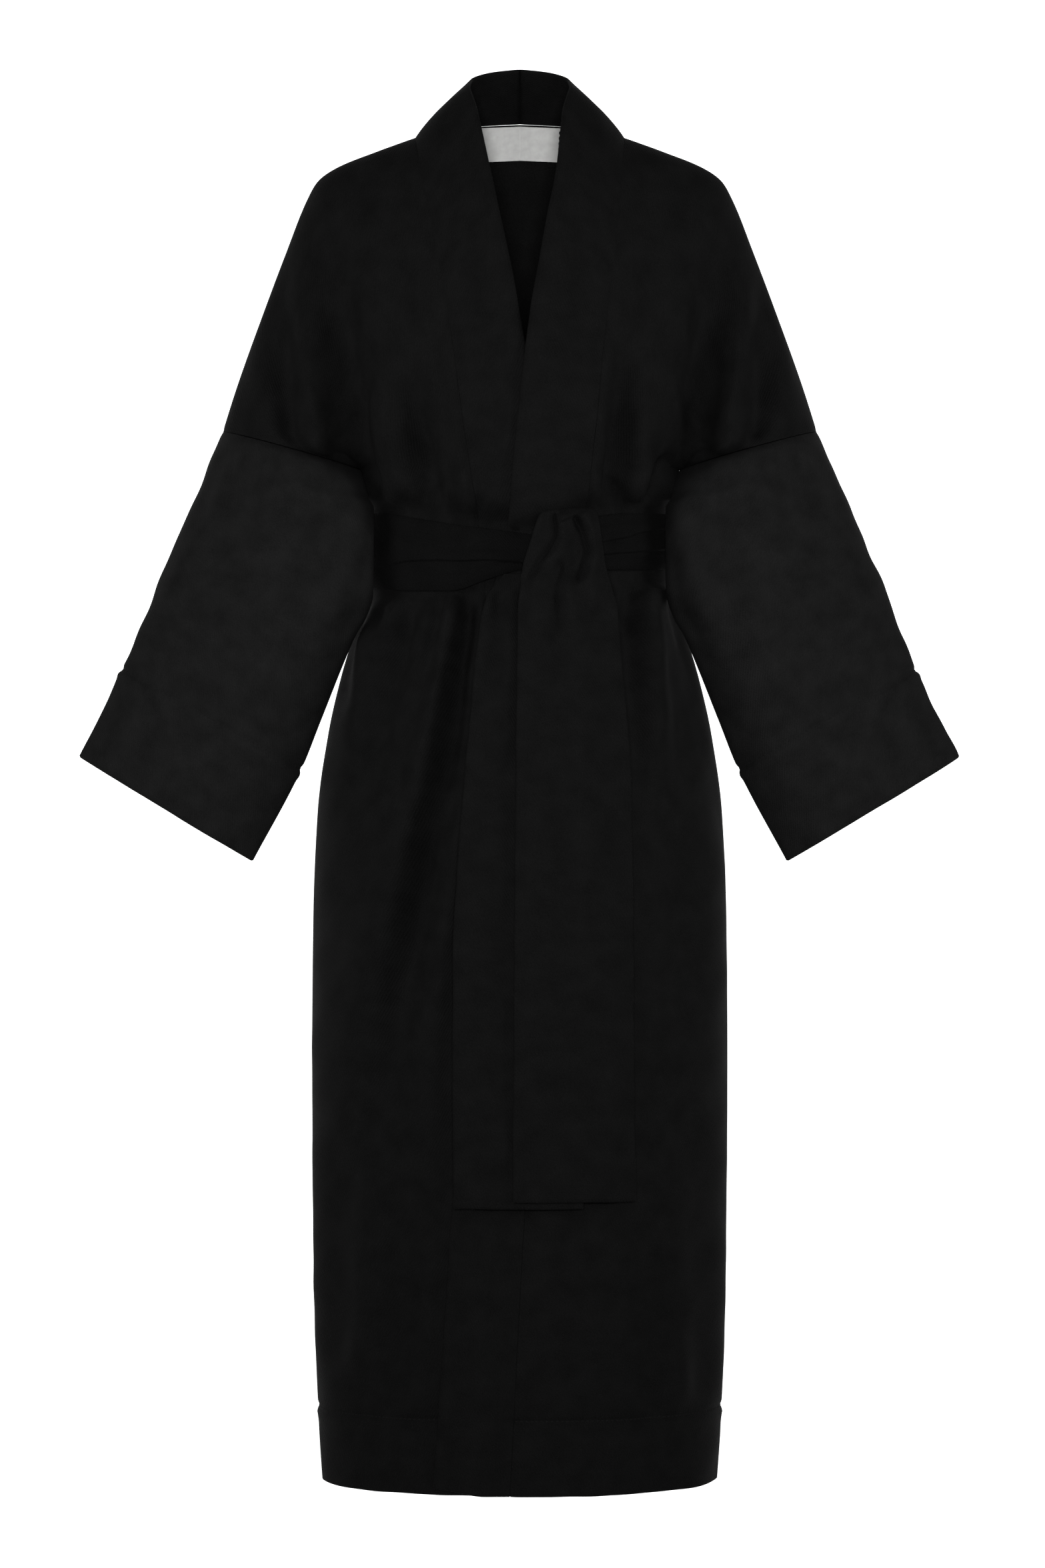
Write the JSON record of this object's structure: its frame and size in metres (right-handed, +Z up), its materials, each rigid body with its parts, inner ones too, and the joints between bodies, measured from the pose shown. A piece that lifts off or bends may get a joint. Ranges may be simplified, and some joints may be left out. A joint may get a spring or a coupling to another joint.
{
  "type": "wool robe",
  "caption": "Long wrap robe of dark wool with a wide neckband, dropped wide sleeves and a knotted sash, shaped hollow as worn.",
  "frame": {"origin": "on the shoulder line, midway between the points where the shoulders meet the neckband", "axes": "+Z up, -Y the front, +X the wearer's left"},
  "size_m": [0.81, 0.3056, 1.3117],
  "materials": {
    "wool": "napped twill, matt",
    "label_satin": "satin"
  },
  "bodies": {
    "root": {"back": "wool", "front_right": "wool", "front_left": "wool", "band_right": "wool", "band_left": "wool", "sleeve_right": "wool", "sleeve_left": "wool", "belt_right": "wool", "belt_left": "wool", "belt_back": "wool", "tail_over": "wool", "tail_under": "wool", "neck_label": "label_satin"}
  },
  "joints": []
}
